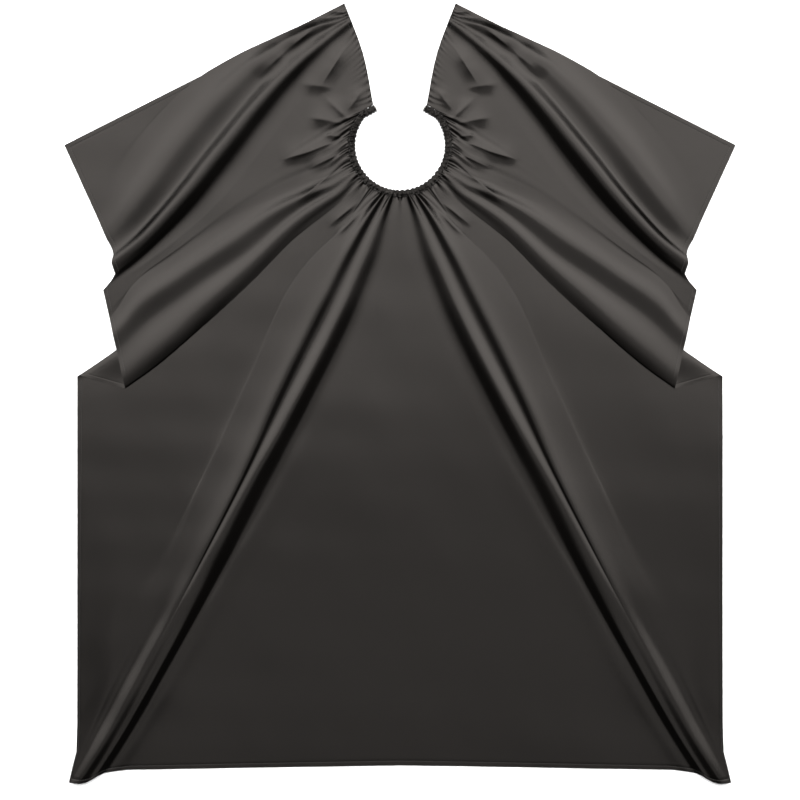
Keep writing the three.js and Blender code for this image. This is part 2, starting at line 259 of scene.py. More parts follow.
PLEAT_END = flap_root + (16, -76)
PLEAT_LINE = bowed(
    slit_and_neck[int(np.searchsorted(NECK_REACH, PLEAT_REACH))],
    PLEAT_END,
    [(0.04, 0), (0.3, -3), (0.45, 3), (0.6, 6), (0.75, 8), (0.9, 6)],
)
PLEAT_SECTIONS = {
    0.0: [
        (-18, FLAT), (-15, 2.8), (-12, 3.6), (-10, 4.2), (-7, 4.6), (-4, 5.0), (-2, 5.4), (0, 5.2),
        (2, 4.4), (3, 3.4), (4, 2.8), (5, 2.4), (6, 2.1), (7, 1.9), (9, 1.8), (11, 1.9), (15, 2.1),
        (20, FLAT),
    ],
    0.18: [
        (-60, FLAT), (-51, 4.8), (-44, 7.6), (-36, 5.8), (-28, 3.8), (-24, 5.2), (-19, 7.2),
        (-14, 8.0), (-8, 6.2), (-2, 3.8), (3, 2.6), (5, 2.1), (5, 1.8), (6, 1.6), (10, 1.7), (18, 1.9),
        (32, 2.1), (50, FLAT),
    ],
    0.39: [
        (-100, FLAT), (-84, 5.0), (-71, 9.8), (-54, 7.2), (-38, 4.4), (-32, 6.0), (-25, 8.6),
        (-18, 10.0), (-9, 7.2), (0, 4.0), (3, 3.0), (0, 2.6), (-6, 2.2), (-6, 1.7), (2, 1.6),
        (14, 1.8), (36, 2.1), (62, FLAT),
    ],
    0.6: [
        (-124, FLAT), (-106, 5.2), (-92, 10.4), (-74, 7.6), (-56, 4.6), (-46, 6.8), (-34, 10.8),
        (-22, 12.6), (-10, 8.8), (1, 4.6), (3, 3.6), (-8, 3.1), (-22, 2.6), (-26, 1.7), (-12, 1.5),
        (8, 1.7), (36, 2.1), (72, FLAT),
    ],
    0.85: [
        (-140, FLAT), (-122, 5.2), (-107, 10.4), (-88, 7.6), (-70, 4.8), (-56, 7.4), (-40, 11.4),
        (-22, 13.2), (-10, 9.4), (2, 5.2), (0, 4.3), (-20, 4.0), (-64, 6.2), (-70, 1.8), (-44, 1.4),
        (4, 1.6), (36, 2.1), (76, FLAT),
    ],
    1.0: [
        (-120, FLAT), (-105, 4.8), (-93, 8.4), (-78, 6.4), (-62, 4.6), (-46, 7.0), (-32, 9.6),
        (-18, 10.8), (-8, 8.4), (2, 5.8), (0, 4.4), (-20, 3.8), (-70, 9.6), (-76, 1.9), (-48, 1.4),
        (0, 1.6), (30, 2.1), (60, FLAT),
    ],
}
PLEAT_INNER = [
    323, 326, 329, 332, 335, 338, 340.5, 343, 345, 346.5, 348, 349.5, 351, 353, 355.5, 358, 361.5, 366,
]


def pleat_outer():
    """The pleat's hem: down the tier's edge, back under it to the flap's tip, and down the side."""
    edge = (tier_tip - PLEAT_END) / np.linalg.norm(tier_tip - PLEAT_END)
    across = PLEAT_LINE.side(np.array([1.0]))[0]
    section = PLEAT_SECTIONS[1.0]
    upper = [(PLEAT_END + edge * max(0, -a / -(edge @ across)), z - 0.3) for a, z in section[:10]]
    back = (flap_tip - PLEAT_END) / np.linalg.norm(flap_tip - PLEAT_END)
    under = [(PLEAT_END + back * 4, 4.2), (PLEAT_END + back * 24, 3.6)]
    under += [(flap_tip - back * 5, 6.2), (flap_tip + (0, -3), 1.9)]
    side = [(flap_tip + (0, -down), z) for down, z in [(13, 1.4), (28, 1.7), (58, 2.1), (96, FLAT)]]
    return [(*p, z) for p, z in upper + under + side]


LONG_LINE = bowed(
    slit_and_neck[int(np.searchsorted(NECK_REACH, LONG_REACH))],
    bottom_corner + (16, 0),
    [
        (0.03, -3.4), (0.07, -5.7), (0.185, -0.6), (0.35, 3.7), (0.45, 7.2), (0.6, 9.4), (0.79, 8.3),
        (0.94, 6),
    ],
)
LONG_SECTIONS = {
    0.0: [
        (-17, FLAT), (-14, 3.2), (-11, 4.8), (-9, 6.2), (-7, 7.2), (-4.5, 5.8), (-2.5, 4.6), (-1, 3.8),
        (0.5, 4.6), (2.5, 6.0), (5, 7.6), (7, 6.8), (8.5, 4.2), (10, 2.3), (12, 2.1), (15, FLAT),
    ],
    0.07: [
        (-40, 3.0), (-31, 4.8), (-24, 7.2), (-19, 9.4), (-15, 11.2), (-10, 8.6), (-5, 6.0), (-1, 4.6),
        (3, 6.0), (7, 7.8), (11, 9.4), (16, 9.6), (23, 6.0), (32, 2.0), (42, 2.0), (54, FLAT),
    ],
    0.15: [
        (-75, 4.6), (-54, 6.2), (-37, 8.0), (-28, 10.0), (-20, 12.8), (-13, 9.8), (-6, 6.8), (0, 5.6),
        (5, 7.6), (10, 9.8), (15, 11.8), (20, 11.8), (30, 7.2), (41, 1.9), (56, 2.1), (76, FLAT),
    ],
    0.35: [
        (-74, 5.2), (-54, 6.8), (-36, 8.8), (-27, 10.8), (-18, 13.8), (-11, 10.8), (-5, 8.0), (0, 6.6),
        (5, 8.8), (11, 11.4), (16, 13.4), (22, 13.4), (33, 8.0), (45, 1.9), (62, 2.1), (90, FLAT),
    ],
    0.48: [
        (-66, 5.4), (-47, 7.2), (-32, 9.2), (-21, 11.4), (-11, 14.4), (-6, 14.2), (-2, 11.8),
        (0, 11.0), (3, 12.2), (7, 13.6), (12, 14.4), (20, 12.2), (32, 6.6), (45, 1.9), (57, 3.0),
        (84, FLAT),
    ],
    0.62: [
        (-58, 5.4), (-43, 7.2), (-29, 9.0), (-18, 10.8), (-7, 13.6), (-3, 13.6), (-1, 12.4), (0, 12.0),
        (1.5, 12.8), (6, 14.2), (12, 14.4), (22, 12.2), (31, 8.2), (41, 1.9), (50, 4.0), (76, FLAT),
    ],
    0.8: [
        (-54, 5.4), (-41, 6.6), (-32, 6.6), (-23, 5.0), (-14, 8.0), (-5, 11.4), (-1, 12.2), (0, 11.8),
        (3, 12.6), (8, 11.6), (14, 10.4), (22, 12.0), (29, 10.8), (38, 2.2), (48, 4.6), (72, FLAT),
    ],
    0.93: [
        (-40, 6.4), (-33, 7.4), (-26, 7.2), (-20, 6.0), (-13, 8.6), (-5, 11.6), (-1, 12.8), (1, 12.8),
        (4, 12.0), (9, 10.2), (14, 9.4), (20, 10.8), (27, 9.4), (36, 2.2), (45, 4.2), (64, FLAT),
    ],
    1.0: [
        (-34, 6.4), (-26, 8.2), (-19, 9.6), (-14, 10.4), (-9, 11.2), (-4, 12.2), (-1, 12.8), (1, 12.6),
        (4, 11.8), (9, 9.8), (14, 9.0), (20, 10.2), (27, 9.0), (36, 2.6), (45, 4.0), (64, FLAT),
    ],
}
LONG_INNER = [394, 396, 398, 400, 402, 404, 406, 408, 410, 412, 414, 416, 418, 420, 422, 424.5]


def long_outer():
    """The rolled fold's hem: down the side to the corner, then over the two rolls to the flat hem."""
    along_side = [(side_foot + (0, 50), 4.0), (side_foot + (-1, 4), 7.6), (side_foot + (-8, -24), 9.6)]
    corner = [(bottom_corner + (0.5, -0.5), 10.4)]
    rolls = [
        (5, -1.6, 11.2), (11, -2.4, 12.2), (15, -2.7, 12.8), (18, -2.9, 12.6), (22, -2.8, 11.8),
        (29, -1.6, 9.8), (36, 1, 9), (44, 5.7, 10.4), (52, 10.6, 9.2), (64, 15.7, 2.8),
        (76, 17.7, 4.2), (104, 21, FLAT),
    ]
    return [(*p, z) for p, z in along_side + corner] + [
        (bottom_corner[0] + x, bottom_corner[1] + y, z) for x, y, z in rolls
    ]


def fold_guides(line, sections, inner, outer):
    """One guide for each point of a fold's sections."""
    shares = np.array(sorted(sections))
    tables = np.array([sections[s] for s in shares], float)
    guides = []
    for k in range(tables.shape[1]):
        guide = {"line": line, "shares": shares, "table": tables[:, k]}
        guides.append({**guide, "inner": inner[k], "outer": outer[k]})
    return guides


def straight_guide(inner, outer):
    """A guide of flat cloth, straight from the inner edge to the hem."""
    outer = np.asarray(outer, float)
    table = np.array([(0.0, FLAT), (0.0, FLAT)])
    line = Line([inner_edge(inner), outer[:2]])
    guide = {"line": line, "shares": np.array([0.0, 1.0]), "table": table}
    return {**guide, "inner": inner, "outer": (*outer[:2], FLAT)}


def flats_between(before, after, weights, inners):
    """Guides of flat cloth that lie between two others all the way down."""
    guides = []
    for weight, inner in zip(weights, inners):
        hem = np.array(before["outer"]) * (1 - weight) + np.array(after["outer"]) * weight
        guide = {"pair": (before, after), "weight": weight}
        guides.append({**guide, "inner": inner, "outer": (*hem[:2], FLAT)})
    return guides


# the flat guides ahead of each fold: each one's weight between its neighbours, and its reach
TOP_FLATS = (0.34, 0.7), (6.0, 12.0)
WING_FLATS = (0.25, 0.5, 0.75), (110.0, 190.0, 262.0)
PLEAT_FLATS = (0.25, 0.5, 0.75), (373.0, 380.0, 387.0)
MIDDLE_WEIGHTS = (0.33, 0.66)
# each fold's first guide, when all are counted from the top edge
WING_FIRST, PLEAT_FIRST, LONG_FIRST = 3, 19, 40


def half_guides():
    """All of the left half's guides in order, from the top edge to the middle of the bottom."""
    wing_outer = [(*(wing_foot + (x, y)), z) for x, y, z in WING_OUTER]
    top = straight_guide(0.0, wing_corner)
    wing = fold_guides(WING_LINE, WING_SECTIONS, WING_INNER, wing_outer)
    pleat = fold_guides(PLEAT_LINE, PLEAT_SECTIONS, PLEAT_INNER, pleat_outer())
    long = fold_guides(LONG_LINE, LONG_SECTIONS, LONG_INNER, long_outer())
    middle = straight_guide(NECK_REACH[-1], hem_middle)
    last = LONG_INNER[-1]
    rest = NECK_REACH[-1] - last
    middle_inners = [last + weight * rest for weight in MIDDLE_WEIGHTS]
    return (
        [top, *flats_between(top, wing[0], *TOP_FLATS), *wing]
        + [*flats_between(wing[-1], pleat[0], *WING_FLATS), *pleat]
        + [*flats_between(pleat[-1], long[0], *PLEAT_FLATS), *long]
        + [*flats_between(long[-1], middle, MIDDLE_WEIGHTS, middle_inners), middle]
    )


# ---------------------------------------------------------------- the cloth's grid

ROWS = 220
HEM_STEP, NECK_STEP = 3.4, 1.7  # most distance between columns, over the cloth and at the neck
FEWEST_COLUMNS, MOST_COLUMNS = 3, 40  # between two guides
INNER_BLEND = 0.10  # share of a guide over which it leaves the inner edge
OUTER_BLEND = 0.45  # share over which it turns to its place at the hem
HEIGHT_BLEND = 0.14  # share over which it settles to its height at the hem
SOFTEN_PASSES, SOFTEN_STRENGTH = 6, 0.6
ROW_SPREAD = 1.25  # above 1, the rows lie closer near the neck
HEM_ROWS = (0.0, 0.6, 2.5, 5.5, 7.4, 8.0, 8.6)  # distances from an edge that always hold a row


def guide_points(guide, share):
    """A guide's points (share, 3). A flat one keeps a little of its neighbours' height."""
    if "pair" in guide:
        before, after = (guide_points(g, share) for g in guide["pair"])
        mixed = before * (1 - guide["weight"]) + after * guide["weight"]
        share_before, share_after = (1 - guide["weight"]) ** 2, guide["weight"] ** 2
        mixed[:, 2] = FLAT + (before[:, 2] - FLAT) * share_before + (after[:, 2] - FLAT) * share_after
        return mixed
    plan = guide["line"].at(share)
    section = hermite(share, guide["shares"], guide["table"])
    plan = plan + guide["line"].side(share) * section[:, :1]
    return np.concatenate([plan, section[:, 1:]], axis=1)


def spline_through(points, counts):
    """Points (guides, 3) at one row, filled in between guides by a centripetal spline."""
    gap = np.sqrt(np.maximum(np.linalg.norm(np.diff(points, axis=0), axis=1), 1e-3))
    knots = np.concatenate([[0.0], np.cumsum(gap)])
    at = np.concatenate(
        [knots[i] + gap[i] * np.arange(n) / n for i, n in enumerate(counts)] + [knots[-1:]]
    )
    return hermite(at, knots, points)


def fill_counts(guides):
    """How many columns lie between each pair of guides, by their mean gap and their gap in reach."""
    share = np.linspace(0.2, 1.0, 9)
    rows = np.array([guide_points(g, share) for g in guides])
    gap = np.linalg.norm(np.diff(rows, axis=0), axis=2).mean(axis=1)
    inner = np.diff([g["inner"] for g in guides])
    wanted = [round(max(g / HEM_STEP, i / NECK_STEP)) for g, i in zip(gap, inner)]
    return [int(np.clip(count, FEWEST_COLUMNS, MOST_COLUMNS)) for count in wanted]


def half_grid():
    """The left half's surface, an array (rows, columns, 3), its reach and each guide's column."""
    guides = half_guides()
    counts = fill_counts(guides)
    share = np.linspace(0, 1, 2 * ROWS)
    lines = np.array([guide_points(g, share) for g in guides])
    grid = np.array([spline_through(lines[:, i], counts) for i in range(len(share))])
    # the inner and outer edges
    column = np.concatenate([i + np.arange(n) / n for i, n in enumerate(counts)] + [[len(guides) - 1.0]])
    reach = np.interp(column, np.arange(len(guides)), [g["inner"] for g in guides])
    inner = inner_edge(reach)
    outer = np.array([g["outer"] for g in guides], float)
    hem = np.stack([np.interp(column, np.arange(len(guides)), outer[:, i]) for i in range(3)], -1)
    leave = 1 - smooth(share / INNER_BLEND)[:, None, None]
    reachout = smooth((share - 1 + OUTER_BLEND) / OUTER_BLEND)[:, None, None]
    start_gap = np.concatenate([inner - grid[0, :, :2], np.zeros((len(column), 1))], axis=1)
    end_gap = hem - grid[-1]
    grid = grid + leave * start_gap[None]
    grid[:, :, :2] += reachout * end_gap[None, :, :2]
    settle = smooth((share - 1 + HEIGHT_BLEND) / HEIGHT_BLEND)[:, None]
    grid[:, :, 2] += settle * end_gap[None, :, 2]
    grid = resample(soften(grid))
    first_fold = counts[0] + counts[1] + counts[2]
    grid, reach = hem_columns(grid, reach, first_fold)
    marks = np.cumsum([0] + counts) + len(HEM_ROWS) - 1
    return grid, reach, marks


def hem_columns(grid, reach, last):
    """Columns at the hem's own distances from the top edge, ahead of the ones up to the last."""
    edge = np.array(HEM_ROWS)
    out = np.zeros((grid.shape[0], last + len(edge), 3))
    for r in range(grid.shape[0]):
        line = grid[r, : last + 1]
        run = lengths(line)
        spread = np.linspace(edge[-1], run[-1], last + 1)[1:]
        want = np.concatenate([edge, spread])
        for i in range(3):
            out[r, :, i] = np.interp(want, run, line[:, i])
        if r == 0:
            new_reach = np.interp(want, run, reach[: last + 1])
    whole_grid = np.concatenate([out, grid[:, last + 1 :]], axis=1)
    return whole_grid, np.concatenate([new_reach, reach[last + 1 :]])


def soften(grid):
    """Evens the heights across the columns, by distance."""
    x, y, z = grid[:, :, 0], grid[:, :, 1], grid[:, :, 2]
    gap = np.maximum(np.hypot(np.diff(x, axis=1), np.diff(y, axis=1)), 0.05)
    before, after = 1 / gap[:, :-1], 1 / gap[:, 1:]
    for _ in range(SOFTEN_PASSES):
        mean = (z[:, :-2] * before + z[:, 2:] * after) / (before + after)
        z[:, 1:-1] += SOFTEN_STRENGTH * (mean - z[:, 1:-1])
    return grid


def resample(grid):
    """Rows spread along each column, closer near the neck, with the hem's own rows at both ends."""
    out = np.zeros((ROWS + 2 * len(HEM_ROWS), grid.shape[1], 3))
    spread = np.linspace(0, 1, ROWS + 2)[1:-1] ** ROW_SPREAD
    for c in range(grid.shape[1]):
        column = grid[:, c]
        run = lengths(column)
        a, b = HEM_ROWS[-1], run[-1] - HEM_ROWS[-1]
        want = np.concatenate([HEM_ROWS, a + (b - a) * spread, run[-1] - np.array(HEM_ROWS[::-1])])
        for i in range(3):
            out[:, c, i] = np.interp(want, run, column[:, i])
    return out


# ---------------------------------------------------------------- meshes


def mesh_object(name, vertices, faces, material, body="cape"):
    mesh = bpy.data.meshes.new(name)
    mesh.from_pydata((np.asarray(vertices) * MM).tolist(), [], faces)
    mesh.validate()
    mesh.polygons.foreach_set("use_smooth", [True] * len(mesh.polygons))
    mesh.materials.append(material)
    obj = bpy.data.objects.new(name, mesh)
    bpy.context.scene.collection.objects.link(obj)
    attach(obj, body)
    return obj


class Net:
    """A Principled material, and short ways to add nodes to it."""

    def __init__(self, name, colour, roughness, **sockets):
        self.material = bpy.data.materials.new(name)
        self.material.use_nodes = True
        self.tree = self.material.node_tree
        self.shader = self.tree.nodes["Principled BSDF"]
        self.shader.inputs["Base Color"].default_value = (*colour, 1)
        self.shader.inputs["Roughness"].default_value = roughness
        for socket, value in sockets.items():
            self.shader.inputs[socket.replace("_", " ")].default_value = value

    def add(self, kind, **settings):
        node = self.tree.nodes.new(kind)
        for key, value in settings.items():
            setattr(node, key, value)
        return node

    def link(self, source, target):
        self.tree.links.new(source, target)

    def math(self, operation, a, b=0.0):
        node = self.add("ShaderNodeMath", operation=operation)
        for socket, value in zip(node.inputs, (a, b)):
            if isinstance(value, (int, float)):
                socket.default_value = value
            else:
                self.link(value, socket)
        return node.outputs[0]

    def wave(self, distance, period):
        return self.math("SINE", self.math("MULTIPLY", distance, 2 * math.pi / period))

    def noise(self, where, scale, detail=3.0):
        node = self.add("ShaderNodeTexNoise")
        node.inputs["Scale"].default_value = scale
        node.inputs["Detail"].default_value = detail
        self.link(where, node.inputs["Vector"])
        return node.outputs["Fac"]

    def ramp(self, value, low, high):
        """Colours from low to high as the value goes from 0 to 1."""
        node = self.add("ShaderNodeMix", data_type="RGBA")
        self.link(value, node.inputs["Factor"])
        node.inputs[6].default_value = (*low, 1)
        node.inputs[7].default_value = (*high, 1)
        return node.outputs[2]

    def spread(self, value, low, high):
        """Numbers from low to high over the part of its range where a noise value mostly lies."""
        node = self.add("ShaderNodeMapRange")
        self.link(value, node.inputs["Value"])
        node.inputs["From Min"].default_value = 0.3
        node.inputs["From Max"].default_value = 0.7
        node.inputs["To Min"].default_value = low
        node.inputs["To Max"].default_value = high
        return node.outputs[0]

    def bump(self, height, distance, strength=1.0):
        node = self.add("ShaderNodeBump")
        node.inputs["Strength"].default_value = strength
        node.inputs["Distance"].default_value = distance
        self.link(height, node.inputs["Height"])
        self.link(node.outputs["Normal"], self.shader.inputs["Normal"])


TWILL_PERIOD = 0.0011  # metres between the weave's diagonal ribs
DOT_PERIOD = 0.0027  # metres between the figure's dots
WEAVE_HEIGHT, WEAVE_STRENGTH = 0.00012, 0.35


def satin_twill(name, colour, deeper, roughness, tint, specular, crumple=0.0):
    """Black satin twill: diagonal ribs, a fine dotted figure and slow changes of shade and gloss.

    The crumple is the strength of small puckers that are too fine for the mesh.
    """
    net = Net(name, colour, roughness, Specular_IOR_Level=specular, Specular_Tint=(*tint, 1))
    flat = net.add("ShaderNodeUVMap", uv_map="flat").outputs[0]
    split = net.add("ShaderNodeSeparateXYZ")
    net.link(flat, split.inputs[0])
    u, v = split.outputs[0], split.outputs[1]
    ribs = net.wave(net.math("ADD", u, v), TWILL_PERIOD)
    dots = net.math("MULTIPLY", net.wave(u, DOT_PERIOD), net.wave(v, DOT_PERIOD))
    shade = net.noise(flat, 7.0)
    fine = net.noise(flat, 420.0, 2.0)
    height = net.math("ADD", net.math("MULTIPLY", ribs, 0.25), net.math("MULTIPLY", dots, 0.6))
    height = net.math("ADD", height, fine)
    if crumple:
        height = net.math("ADD", height, net.math("MULTIPLY", net.noise(flat, 330.0, 2.0), crumple))
    net.bump(height, WEAVE_HEIGHT, 1.0 if crumple else WEAVE_STRENGTH)
    net.link(net.ramp(shade, deeper, colour), net.shader.inputs["Base Color"])
    net.link(net.spread(shade, roughness * 1.08, roughness * 0.92), net.shader.inputs["Roughness"])
    return net.material


def thread_material(name, colour, roughness, specular):
    """Twisted thread: fine slanting plies."""
    net = Net(name, colour, roughness, Specular_IOR_Level=specular)
    place = net.add("ShaderNodeTexCoord").outputs["Object"]
    split = net.add("ShaderNodeSeparateXYZ")
    net.link(place, split.inputs[0])
    twist = net.math("ADD", split.outputs[0], net.math("ADD", split.outputs[1], split.outputs[2]))
    net.bump(net.wave(twist, 0.0006), 0.00005, 0.6)
    dark = tuple(c * 0.7 for c in colour)
    net.link(net.ramp(net.noise(place, 300.0), dark, colour), net.shader.inputs["Base Color"])
    return net.material


def elastic_material():
    """Braided elastic: crossed ribs, matte."""
    net = Net("elastic", (0.012, 0.012, 0.012), 0.75)
    place = net.add("ShaderNodeTexCoord").outputs["Object"]
    split = net.add("ShaderNodeSeparateXYZ")
    net.link(place, split.inputs[0])
    one = net.wave(net.math("ADD", split.outputs[0], split.outputs[1]), 0.0012)
    other = net.wave(net.math("SUBTRACT", split.outputs[0], split.outputs[1]), 0.0012)
    net.bump(net.math("MULTIPLY", one, other), 0.0002, 0.8)
    shade = net.ramp(net.noise(place, 200.0), (0.008, 0.008, 0.008), (0.02, 0.02, 0.02))
    net.link(shade, net.shader.inputs["Base Color"])
    return net.material


def wire_material():
    """Nickel-plated wire with faint drawing lines and dull spots."""
    net = Net("hook_wire", (0.78, 0.78, 0.77), 0.2, Metallic=1.0)
    place = net.add("ShaderNodeTexCoord").outputs["Object"]
    patches = net.noise(place, 350.0)
    net.link(net.spread(patches, 0.12, 0.32), net.shader.inputs["Roughness"])
    net.link(net.ramp(patches, (0.66, 0.66, 0.65), (0.83, 0.83, 0.82)), net.shader.inputs["Base Color"])
    net.bump(net.noise(place, 2500.0), 0.00002, 0.5)
    return net.material


def grid_faces(rows, columns):
    r, c = np.meshgrid(np.arange(rows - 1), np.arange(columns - 1), indexing="ij")
    a = r * columns + c
    return np.stack([a, a + columns, a + columns + 1, a + 1], -1).reshape(-1, 4)


# ---------------------------------------------------------------- small shapes in the cloth

# Each crease is a low ridge: its crest runs from start to end, it falls off steeply over the fall
# on its lower side and slowly on its upper side.
CREASES = [
    # start, end, fall, height
    ((-91, 631), (-144, 547), 27, 6.0),
    ((-180, 556), (-120, 546), 24, 4.0),
    ((-140, 535), (-86, 484), 14, 3.0),
    ((-166, 496), (-96, 481), 26, 5.0),
    ((-137, 463), (-104, 459), 13, 2.8),
    ((-212, 418), (-150, 436), 20, 4.4),
    ((-170, 430), (-112, 452), 18, 4.2),
    ((-163, 402), (-103, 431), 19, 4.4),
    ((-186, 340), (-100, 414), 17, 4.2),
    ((-126, 300), (-76, 342), 10, 3.0),
    ((-112, 282), (-70, 326), 9, 2.8),
    ((-255, 566), (-198, 620), 26, 5.0),
    ((-206, 612), (-150, 658), 24, 4.8),
    ((-175, 650), (-112, 668), 20, 3.2),
    ((-131, 686), (-92, 682), 10, 1.8),
    ((-93, 507), (-66, 546), 16, 3.4),
]
RISE = 2.0  # a crease's slow side, as a multiple of its fall
CREASE_MARGIN = 6  # how far a crease runs on past its two ends


def falling(t):
    """From 1 to 0 as t goes from 0 to 1, steepest at the start."""
    return (1 - np.clip(t, 0.0, 1.0)) ** 1.8


def add_creases(grid):
    x, y = grid[:, :, 0], grid[:, :, 1]
    for start, end, fall, height in CREASES:
        start, end = np.array(start, float), np.array(end, float)
        run = np.linalg.norm(end - start)
        ahead = (end - start) / run
        up = np.array([-ahead[1], ahead[0]]) * (1 if ahead[0] > 0 else -1)
        along = (x - start[0]) * ahead[0] + (y - start[1]) * ahead[1]
        across = (x - start[0]) * up[0] + (y - start[1]) * up[1]
        profile = np.where(across < 0, falling(-across / fall), falling(across / (RISE * fall)))
        taper = 0.5 * run
        start_taper = smooth((along + CREASE_MARGIN) / taper)
        end_taper = smooth((run + CREASE_MARGIN - along) / taper)
        grid[:, :, 2] += height * profile * start_taper * end_taper


# the puckers along the neck and the slit: period, height and the distance over which they die away
SHORT_GATHERS = (7.0, 1.7, 9)
MIDDLE_GATHERS = (15.0, 1.8, 22)
LONG_GATHERS = (31.0, 2.2, 42)
SLIT_PUCKERS = (11.0, 1.1, 11)
CHIN_REACH = 396  # past it, under the chin, the long gathers stop and the short ones are higher


def uneven_wave(reach, period, draw, spread=0.35):
    """A wave along the neck whose periods and heights vary."""
    count = int(NECK_REACH[-1] / period) + 3
    knots = np.concatenate([[0.0], np.cumsum(period * draw.uniform(1 - spread, 1 + spread, count))])
    size = draw.uniform(0.35, 1.0, count + 1)
    phase = np.interp(reach, knots, np.arange(count + 1))
    return np.cos(2 * np.pi * phase) * np.interp(phase, np.arange(count + 1), size)


def add_gathers(grid, reach, draw):
    """Puckers that the elastic pulls into the cloth, and small ones along the slit's hem."""
    (short_period, short_height, short_fade) = SHORT_GATHERS
    (middle_period, middle_height, middle_fade) = MIDDLE_GATHERS
    (long_period, long_height, long_fade) = LONG_GATHERS
    (slit_period, slit_height, slit_fade) = SLIT_PUCKERS
    away = np.linalg.norm(np.diff(grid, axis=0, prepend=grid[:1]), axis=2).cumsum(axis=0)
    on_neck = smooth((reach - SLIT_REACH - 2) / 14)
    on_slit = 1 - smooth((reach - SLIT_REACH) / 6)
    under_chin = smooth((reach - CHIN_REACH) / 14)
    short = uneven_wave(reach, short_period, draw) * on_neck * (1 + 0.4 * under_chin)
    middle = uneven_wave(reach, middle_period, draw) * on_neck
    long = uneven_wave(reach, long_period, draw) * on_neck * (1 - under_chin)
    slit = uneven_wave(reach, slit_period, draw) * on_slit
    z = grid[:, :, 2]
    z += short_height * short * np.exp(-away / short_fade)
    z += middle_height * middle * np.exp(-away / middle_fade)
    z += long_height * long * smooth(away / 10) * np.exp(-away / long_fade)
    z += slit_height * slit * np.exp(-away / slit_fade)


UNDULATIONS = [(420, 0.2), (260, 0.15), (150, 0.1), (90, 0.07)]  # length and height of each size
WAVES_OF_EACH = 3


def add_undulation(grid, draw):
    """Slow, low waves all over the cloth."""
    x, y, z = grid[:, :, 0], grid[:, :, 1], grid[:, :, 2]
    for length, height in UNDULATIONS:
        for _ in range(WAVES_OF_EACH):
            angle, phase = draw.uniform(0, np.pi), draw.uniform(0, 2 * np.pi)
            z += height * np.sin((x * np.cos(angle) + y * np.sin(angle)) * 2 * np.pi / length + phase)


HEM_THICKNESS, SEAM_GROOVE = 0.1, 0.12
HEM_WIDTH, SEAM_INSET = HEM_ROWS[-1], HEM_ROWS[-2]
HEM_PUCKER_STEP, HEM_PUCKER = 6.5, 0.22
FAR_FROM_EDGE = 99.0
EDGE_COUNT = len(HEM_ROWS)


def add_hems(grid, reach, draw):
    """The doubled cloth of the hems, a slight groove at their stitches, and tiny puckers."""
    rows, columns = grid.shape[:2]
    distance = np.full((rows, columns), FAR_FROM_EDGE)
    edge = np.array(HEM_ROWS)
    on_slit = reach < SLIT_REACH - 1
    distance[:EDGE_COUNT, on_slit] = edge[:, None]
    distance[-EDGE_COUNT:] = np.minimum(distance[-EDGE_COUNT:], edge[::-1, None])
    distance[:, :EDGE_COUNT] = np.minimum(distance[:, :EDGE_COUNT], edge[None])
    at_seam = np.abs(distance - SEAM_INSET) < 0.1
    grid[:, :, 2] += HEM_THICKNESS * smooth((HEM_WIDTH - distance) / 1.2) - SEAM_GROOVE * at_seam
    run = lengths(grid[-1])
    knots = np.arange(0, run[-1] + 9, HEM_PUCKER_STEP)
    pucker = np.interp(run, knots, draw.uniform(-1, 1, len(knots)))
    fade = smooth((HEM_WIDTH - edge[::-1]) / HEM_WIDTH)
    grid[-EDGE_COUNT:, :, 2] += HEM_PUCKER * pucker[None] * fade[:, None]


# no point of the cloth lies lower than LOWEST, and it rounds off to that height over EASE
LOWEST, EASE = 0.5, 0.6


draw = np.random.default_rng(94)
left, reach, marks = half_grid()
add_creases(left)
add_gathers(left, reach, draw)
add_hems(left, reach, draw)
right = left[:, -2::-1] * (-1, 1, 1)
whole = np.concatenate([left, right], axis=1)
add_undulation(whole, draw)
over = whole[:, :, 2] - LOWEST
whole[:, :, 2] = LOWEST + (over + np.sqrt(over**2 + EASE**2)) / 2
rows, columns = whole.shape[:2]

SATIN_TINT = (1.0, 0.92, 0.86)
CLOTH_COLOUR, CLOTH_DEEPER = (0.0016, 0.0014, 0.0013), (0.0011, 0.0010, 0.0009)
CLOTH_ROUGHNESS, CLOTH_SPECULAR = 0.18, 0.17
CASING_COLOUR, CASING_DEEPER = (0.0024, 0.0022, 0.0020), (0.0012, 0.0011, 0.0010)
CASING_ROUGHNESS, CASING_SPECULAR = 0.22, 0.15
CASING_CRUMPLE = 14.0
cloth = satin_twill(
    "cape_cloth", CLOTH_COLOUR, CLOTH_DEEPER, CLOTH_ROUGHNESS, SATIN_TINT, CLOTH_SPECULAR
)
casing_cloth = satin_twill(
    "casing_cloth", CASING_COLOUR, CASING_DEEPER, CASING_ROUGHNESS, SATIN_TINT, CASING_SPECULAR,
    CASING_CRUMPLE,
)
cape = mesh_object("cape_cloth", whole.reshape(-1, 3), grid_faces(rows, columns).tolist(), cloth)
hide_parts("cape_panel")


def lay_flat(obj, flat):
    """UV map of each vertex's place on the flat cloth, in metres."""
    mesh = obj.data
    layer = mesh.uv_layers.new(name="flat")
    corner = np.zeros(len(mesh.loops), dtype=np.int32)
    mesh.loops.foreach_get("vertex_index", corner)
    layer.data.foreach_set("uv", (flat[corner] * MM).astype(np.float32).reshape(-1))


def grain_angles(reach):
    """How far the weave is turned: not in the body, some in the tier, more in the wing."""
    degrees = np.interp(reach, [17, 53, 323, 366], [26, 14, 14, 0])
    return np.radians(np.concatenate([degrees, -degrees[-2::-1]]))


